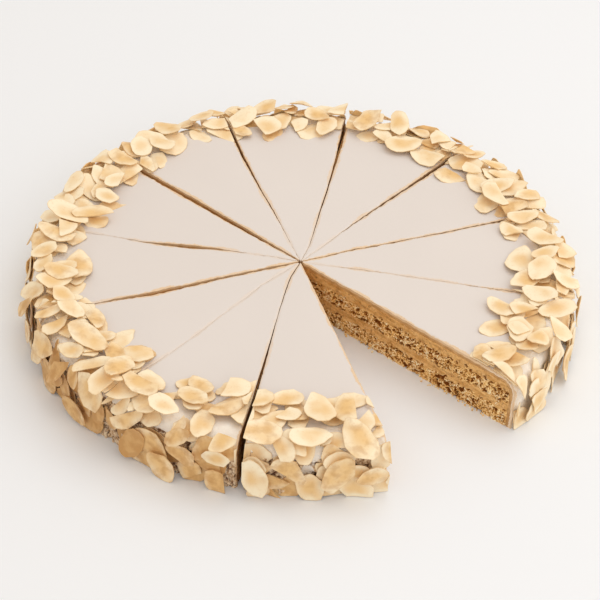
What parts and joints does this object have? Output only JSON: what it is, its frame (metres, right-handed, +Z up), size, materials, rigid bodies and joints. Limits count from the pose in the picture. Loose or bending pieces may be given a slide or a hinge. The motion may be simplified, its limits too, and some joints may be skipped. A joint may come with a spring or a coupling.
{
  "type": "almond cake",
  "caption": "Round layer cake with white icing and flaked almonds round its rim, cut into slices, with a slice taken out.",
  "frame": {"origin": "centre of the cake's underside, on the surface it stands on, below the point where the cuts meet", "axes": "+Z up; -Y towards the side with the missing slice; +X to the right seen from there"},
  "size_m": [0.2492, 0.2505, 0.0345],
  "materials": {
    "icing": "smooth, matt white icing, a little warm",
    "flaked_almonds": "pale, dry, matt flakes of almond",
    "nut_cream": "smooth, dense, light brown cream",
    "sponge": "open, dry, light brown crumb"
  },
  "bodies": {
    "root": {"slice_1_lower_sponge": "sponge", "slice_1_filling": "nut_cream", "slice_1_upper_sponge": "sponge", "slice_1_top_cream": "nut_cream", "slice_1_icing": "icing", "slice_2_lower_sponge": "sponge", "slice_2_filling": "nut_cream", "slice_2_upper_sponge": "sponge", "slice_2_top_cream": "nut_cream", "slice_2_icing": "icing", "slice_3_lower_sponge": "sponge", "slice_3_filling": "nut_cream", "slice_3_upper_sponge": "sponge", "slice_3_top_cream": "nut_cream", "slice_3_icing": "icing", "slice_4_lower_sponge": "sponge", "slice_4_filling": "nut_cream", "slice_4_upper_sponge": "sponge", "slice_4_top_cream": "nut_cream", "slice_4_icing": "icing", "slice_5_lower_sponge": "sponge", "slice_5_filling": "nut_cream", "slice_5_upper_sponge": "sponge", "slice_5_top_cream": "nut_cream", "slice_5_icing": "icing", "slice_6_lower_sponge": "sponge", "slice_6_filling": "nut_cream", "slice_6_upper_sponge": "sponge", "slice_6_top_cream": "nut_cream", "slice_6_icing": "icing", "slice_7_lower_sponge": "sponge", "slice_7_filling": "nut_cream", "slice_7_upper_sponge": "sponge", "slice_7_top_cream": "nut_cream", "slice_7_icing": "icing", "slice_8_lower_sponge": "sponge", "slice_8_filling": "nut_cream", "slice_8_upper_sponge": "sponge", "slice_8_top_cream": "nut_cream", "slice_8_icing": "icing", "slice_9_lower_sponge": "sponge", "slice_9_filling": "nut_cream", "slice_9_upper_sponge": "sponge", "slice_9_top_cream": "nut_cream", "slice_9_icing": "icing", "slice_10_lower_sponge": "sponge", "slice_10_filling": "nut_cream", "slice_10_upper_sponge": "sponge", "slice_10_top_cream": "nut_cream", "slice_10_icing": "icing", "slice_11_lower_sponge": "sponge", "slice_11_filling": "nut_cream", "slice_11_upper_sponge": "sponge", "slice_11_top_cream": "nut_cream", "slice_11_icing": "icing"}
  },
  "joints": []
}
